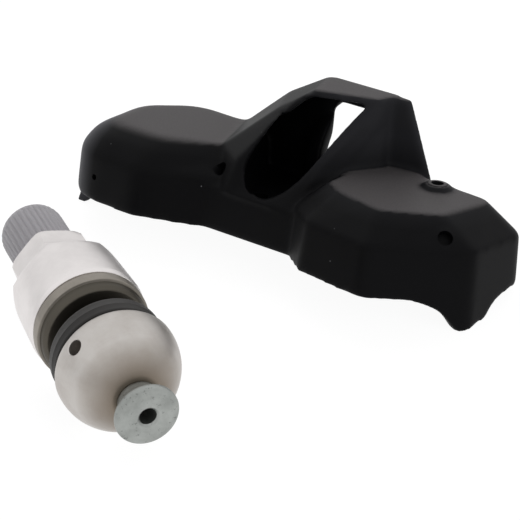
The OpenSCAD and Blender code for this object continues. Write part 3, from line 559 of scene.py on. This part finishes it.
# The union nut is turned from aluminium bar and anodised white silver. Six flats are milled on its
# front end with a round cutter, so they run out in curves into the collar.
nut_low = 12.6
nut_high = 30.4
collar_r = 9
nose_r = 7.11
row_step = 0.2
flats_low = 18
flats_inner_r = 4.5
flat_r = 5.9
flat_full_s = 27
runout_rise = 0.2286
runout_power = 1.642
corner_power = 40
nut_turn = -14
envelope = [(bore_r, nut_low, 0.2), (8.7, nut_low, 0.12), (collar_r, nut_low + 0.6, 0.2)]
envelope += [(8.73 - 0.012 * row, 19.6 + row_step * row, 0) for row in range(28)]
envelope += [(8.39 - 0.075 * row, 25.2 + row_step * row, 0) for row in range(1, 18)]
envelope += [(nose_r, 28.8, 0), (nose_r, 29.5, 0), (6.41, nut_high, 0.1), (5.2, nut_high, 0.3),
             (4.3, nut_high - 0.25, 0.1), (bore_r, nut_high - 0.7, 0.1)]
bm = turned(envelope, steps=192)
for vert in bm.verts:
    radius = math.hypot(vert.co.x, vert.co.y)
    if radius > flats_inner_r and vert.co.z > flats_low:
        away = math.degrees(math.atan2(vert.co.y, vert.co.x)) % 60
        facing = math.cos(math.radians(min(away, 60 - away)))
        rise = runout_rise * max(0, flat_full_s - vert.co.z) ** runout_power
        limit = (flat_r + rise) / facing
        held = (radius ** -corner_power + limit ** -corner_power) ** (-1 / corner_power)
        pulled = held / radius
        vert.co.x *= pulled
        vert.co.y *= pulled
bmesh.ops.rotate(bm, verts=bm.verts, matrix=Matrix.Rotation(math.radians(nut_turn), 3, "Z"))
nut = object_from("union_nut", bm, valve_axis)
white_silver = turned_metal("turned aluminium, satin anodised", "e8e4e3", "dedad9", 0.42,
                            ring_mm=0.25, ring_depth=0.002)
finish_piece(nut, white_silver, "nut", "clamp_nut", sharp=22)


# The dust cap is moulded in grey nylon, with a fine grip of ribs along its side and a rubber disc
# inside that seals on the stem's tip. It screws on by hand.
cap_low = 30.7
cap_high = 41.8
cap_r = 5.15
cap_bore_r = 3.93
dish_r = 1.4
dish_depth = 0.06
rib_count = 36
rib_depth = 0.2
bm = turned([(cap_bore_r, cap_low, 0.15), (cap_r - 0.15, cap_low, 0.2), (cap_r, cap_low + 0.5, 0.2),
             (cap_r, cap_high - 1.9, 0), (cap_r - 0.1, cap_high - 0.9, 0.5),
             (cap_r - 1.1, cap_high, 0.9), (dish_r + 0.2, cap_high, 0.2),
             (dish_r, cap_high - dish_depth, 0.1), (0, cap_high - dish_depth, 0),
             (0, cap_high - 1, 0), (cap_bore_r, cap_high - 1, 0.15)], steps=rib_count * 8)
for vert in bm.verts:
    radius = math.hypot(vert.co.x, vert.co.y)
    if radius > cap_r - 0.3 and cap_low + 0.3 < vert.co.z < cap_high - 0.8:
        wave = 0.5 - 0.5 * math.cos(rib_count * math.atan2(vert.co.y, vert.co.x))
        pulled = 1 - rib_depth * wave ** 2 / radius
        vert.co.x *= pulled
        vert.co.y *= pulled
cap = object_from("dust_cap", bm, valve_axis)
# A dry nylon skin, a little silky, with the faint flow marks of its mould
grey_nylon, tree, shader, place = surface("moulded grey nylon")
flow = add(tree, "TexNoise", [("Vector", place), ("Scale", 1 / (3.5 * MM)), ("Detail", 3),
                              ("Distortion", 0.6)])
grain = add(tree, "TexNoise", [("Vector", place), ("Scale", 1 / (0.2 * MM)), ("Detail", 3)])
tint = add(tree, "Mix", [(0, flow.outputs["Fac"]), (6, linear("9d9a9f")), (7, linear("a6a3a7"))],
           data_type="RGBA")
dull = add(tree, "MapRange", [("Value", grain.outputs["Fac"]), ("To Min", 0.38), ("To Max", 0.5)])
bump = add(tree, "Bump", [("Height", grain.outputs["Fac"]), ("Strength", 0.25),
                          ("Distance", 0.01 * MM)])
feed(tree, shader, [("Base Color", tint.outputs[2]), ("Roughness", dull.outputs[0]),
                    ("Normal", bump.outputs[0]), ("IOR", 1.53), ("Specular IOR Level", 0.4)])
finish_piece(cap, grey_nylon, "cap", "valve_cap", sharp=40)


# The screw that holds the housing to the ball foot is turned steel, drilled through for the tyre's
# air. Its head flares like a trumpet, and the dull plating is pitted from the plating bath.
screw_r = 2.5
neck_r = 3.1
neck_end = -8.62
head_back = -13.17
bm = turned([(air_r, -12.85, 0), (1.62, head_back, 0.08), (2.88, head_back, 0.5),
             (4.25, -13.02, 0.3), (4.72, -12.7, 0.25), (4.8, -12.25, 0.3), (4.68, -11.8, 0.2),
             (3.95, -11.35, 0.7), (neck_r, -10.2, 1.1), (neck_r, neck_end, 0.1),
             (screw_r, neck_end, 0)]
            + thread(screw_r, -8.3, -2.3) + [(2.1, -1.56, 0.05), (air_r, -1.56, 0)])
screw = object_from("hollow_screw", bm, valve_axis)
dull_steel = turned_metal("turned steel, dull plated", "a9aca9", "8b8e8b", 0.48, ring_mm=0.5,
                          ring_depth=0.012, pits=0.55)
finish_piece(screw, dull_steel, "screw", "fixing_screw", sharp=32)


# The valve core sits in the stem's chamber: a brass barrel with a red rubber ring, a sprung pin
# that lets the air out when it is pressed, and the pin's rubber disc, which shuts on the barrel.
def dress(material, *nodes):
    """Gives the material to nodes of the model that stay as they are."""
    for name in nodes:
        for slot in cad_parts[name].material_slots:
            slot.material = material


brass = turned_metal("turned brass", "d2b06a", "c09d58", 0.28, ring_mm=0.2)
dress(brass, "core_barrel", "core_pin")
dress(rubber("red fluorine rubber", "8c1f1a", "7a1815", 0.5), "core_gasket")
dress(black_rubber, "core_seal", "cap_seal")

bm = bmesh.new()
bm.from_mesh(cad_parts["core_spring"].data)
bmesh.ops.remove_doubles(bm, verts=bm.verts, dist=0.0002 * MM)
spring = object_from("return_spring", bm)
spring_wire = turned_metal("drawn spring steel wire", "b4b6b9", "9a9ca0", 0.3, ring_mm=0.1)
finish_piece(spring, spring_wire, "sensor", "core_spring", sharp=60)
# The spring stands on the barrel's floor, at 31.1 mm, and a full press leaves it 0.758 as long
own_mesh(spring)


# The open underside is filled with black two-part potting resin, poured over the board and cured.
# It has a soft gloss, a few slow waves and the odd pinhole where air escaped.
resin, tree, shader, place = surface("black potting resin, poured")
waves = add(tree, "TexNoise", [("Vector", place), ("Scale", 1 / (12 * MM)),
                               ("Detail", 2)]).outputs["Fac"]
pins = add(tree, "TexVoronoi", [("Vector", place), ("Scale", 1 / (3 * MM))])
pins = add(tree, "MapRange", [("Value", pins.outputs["Distance"]), ("From Min", 0.05),
                              ("From Max", 0.1)])
height = add(tree, "Math", [(0, waves), (1, pins.outputs[0])], operation="ADD")
tint = add(tree, "Mix", [(0, waves), (6, linear("101012")), (7, linear("1c1b1d"))],
           data_type="RGBA")
dull = add(tree, "MapRange", [("Value", waves), ("To Min", 0.34), ("To Max", 0.5)])
bump = add(tree, "Bump", [("Height", height.outputs[0]), ("Strength", 0.5),
                          ("Distance", 0.15 * MM)])
feed(tree, shader, [("Base Color", tint.outputs[2]), ("Roughness", dull.outputs[0]),
                    ("Normal", bump.outputs[0]), ("IOR", 1.54), ("Specular IOR Level", 0.2)])
dress(resin, "resin_seal")


# The board is woven glass in epoxy under a green solder mask, cut to the housing's plan and held by
# the resin. The weave shows through the mask, and copper tracks raise it slightly.
mask, tree, shader, place = surface("glass epoxy board, green solder mask")
own = own_axes(tree, place, on_floor)
# Glass cloth with its bundles about 1 mm apart
weave_x = add(tree, "TexWave", [("Vector", own), ("Scale", 0.31)], bands_direction="X")
weave_y = add(tree, "TexWave", [("Vector", own), ("Scale", 0.31)], bands_direction="Y")
weave = add(tree, "Math", [(0, weave_x.outputs["Fac"]), (1, weave_y.outputs["Fac"])],
            operation="MULTIPLY")
# Tracks about 0.6 mm wide, in square steps
tracks = add(tree, "TexVoronoi", [("Vector", own), ("Scale", 0.35)], distance="CHEBYCHEV",
             feature="SMOOTH_F1")
tracks = add(tree, "MapRange", [("Value", tracks.outputs["Distance"]), ("From Min", 0.4),
                                ("From Max", 0.46)]).outputs[0]
tint = add(tree, "Mix", [(0, weave.outputs[0]), (6, linear("0f4a2c")), (7, linear("17613b"))],
           data_type="RGBA")
tint = add(tree, "Mix", [(0, tracks), (6, tint.outputs[2]), (7, linear("2c8453"))],
           data_type="RGBA")
bump = add(tree, "Bump", [("Height", tracks), ("Strength", 0.4), ("Distance", 0.035 * MM)])
feed(tree, shader, [("Base Color", tint.outputs[2]), ("Roughness", 0.28),
                    ("Normal", bump.outputs[0]), ("IOR", 1.55)])
dress(mask, "circuit_board")


# The cell is a lithium coin cell in a drawn can of nickel-plated steel. The tabs welded to it are
# nickel strip, and the antenna is tinned brass strip on legs soldered to the board.
def sheet_metal(name, colour, shade, rough, brush_mm):
    """Thin metal with the marks of its rolls, which run along the strip, far longer than wide."""
    material, tree, shader, place = surface(name)
    along = add(tree, "Mapping", [("Vector", own_axes(tree, place, on_floor)),
                                  ("Scale", (0.08 / brush_mm, 1 / brush_mm, 1 / brush_mm))])
    marks = add(tree, "TexNoise", [("Vector", along.outputs[0]), ("Scale", 1),
                                   ("Detail", 3)]).outputs["Fac"]
    stains = add(tree, "TexNoise", [("Vector", place), ("Scale", 1 / (3 * MM)), ("Detail", 3)])
    tint = add(tree, "Mix", [(0, stains.outputs["Fac"]), (6, linear(colour)), (7, linear(shade))],
               data_type="RGBA")
    dull = add(tree, "MapRange", [("Value", marks), ("To Min", rough - 0.06),
                                  ("To Max", rough + 0.1)])
    bump = add(tree, "Bump", [("Height", marks), ("Strength", 0.4), ("Distance", 0.004 * MM)])
    feed(tree, shader, [("Base Color", tint.outputs[2]), ("Roughness", dull.outputs[0]),
                        ("Normal", bump.outputs[0]), ("Metallic", 1)])
    return material


dress(sheet_metal("drawn steel can, nickel plated", "c6c5c1", "b3b1ab", 0.3, 0.2), "coin_cell")
dress(sheet_metal("rolled nickel strip", "c3bdae", "ada692", 0.34, 0.15),
      "cell_top_tab", "cell_bottom_tab")
dress(sheet_metal("brass strip, tinned", "cfcabb", "b9a777", 0.36, 0.15), "radio_antenna")
dress(sheet_metal("drawn nickel silver can", "c9c8c6", "b5b4b1", 0.26, 0.15), "crystal_can")


# The pressure chip and the controller are moulded in black epoxy filled with silica, and soldered
# down. The capacitors are fired ceramic, and the coil's core is pressed and sintered ferrite.
def fired(name, colour, speck, rough, grain_mm):
    """A moulded, pressed or fired body with a fine even speckle."""
    material, tree, shader, place = surface(name)
    grains = add(tree, "TexNoise", [("Vector", place), ("Scale", 1 / (grain_mm * MM)),
                                    ("Detail", 4), ("Roughness", 0.7)]).outputs["Fac"]
    tint = add(tree, "Mix", [(0, grains), (6, linear(colour)), (7, linear(speck))],
               data_type="RGBA")
    dull = add(tree, "MapRange", [("Value", grains), ("To Min", rough - 0.08),
                                  ("To Max", rough + 0.08)])
    bump = add(tree, "Bump", [("Height", grains), ("Strength", 0.35), ("Distance", 0.01 * MM)])
    feed(tree, shader, [("Base Color", tint.outputs[2]), ("Roughness", dull.outputs[0]),
                        ("Normal", bump.outputs[0])])
    return material


dress(fired("black epoxy, silica filled", "191a1c", "2b2c2f", 0.55, 0.2), "controller_chip")
dress(fired("dark grey epoxy, silica filled", "34353a", "45464b", 0.5, 0.2), "pressure_chip")
dress(fired("fired ceramic, buff", "a58a62", "8f7550", 0.45, 0.1), "tuning_capacitors")
dress(fired("sintered ferrite", "3b3634", "2a2625", 0.6, 0.12), "coil_core")
# The filter in the port is stretched fluoropolymer film: soft white, dull and full of pores
dress(fired("porous white filter film", "e6e6e2", "d2d2cd", 0.85, 0.1), "port_filter")
dress(rubber("grey silicone rubber", "525357", "5e5f63", 0.6), "port_gasket")


# The coil is wound from enamelled copper wire, about 0.12 mm thick, in one neat layer on another
# along the ferrite. Its turns show as fine bright lines with dark gaps.
enamel, tree, shader, place = surface("enamelled copper wire")
own = own_axes(tree, place, on_floor)
# Drawn at 0.4 mm a turn, so that the turns show
turns = add(tree, "TexWave", [("Vector", own), ("Scale", 0.785), ("Distortion", 0.4)],
            bands_direction="X").outputs["Fac"]
tint = add(tree, "Mix", [(0, turns), (6, linear("6a3313")), (7, linear("c87a43"))],
           data_type="RGBA")
bump = add(tree, "Bump", [("Height", turns), ("Strength", 0.8), ("Distance", 0.06 * MM)])
feed(tree, shader, [("Base Color", tint.outputs[2]), ("Roughness", 0.3),
                    ("Normal", bump.outputs[0]), ("Metallic", 1)])
dress(enamel, "coil_winding")
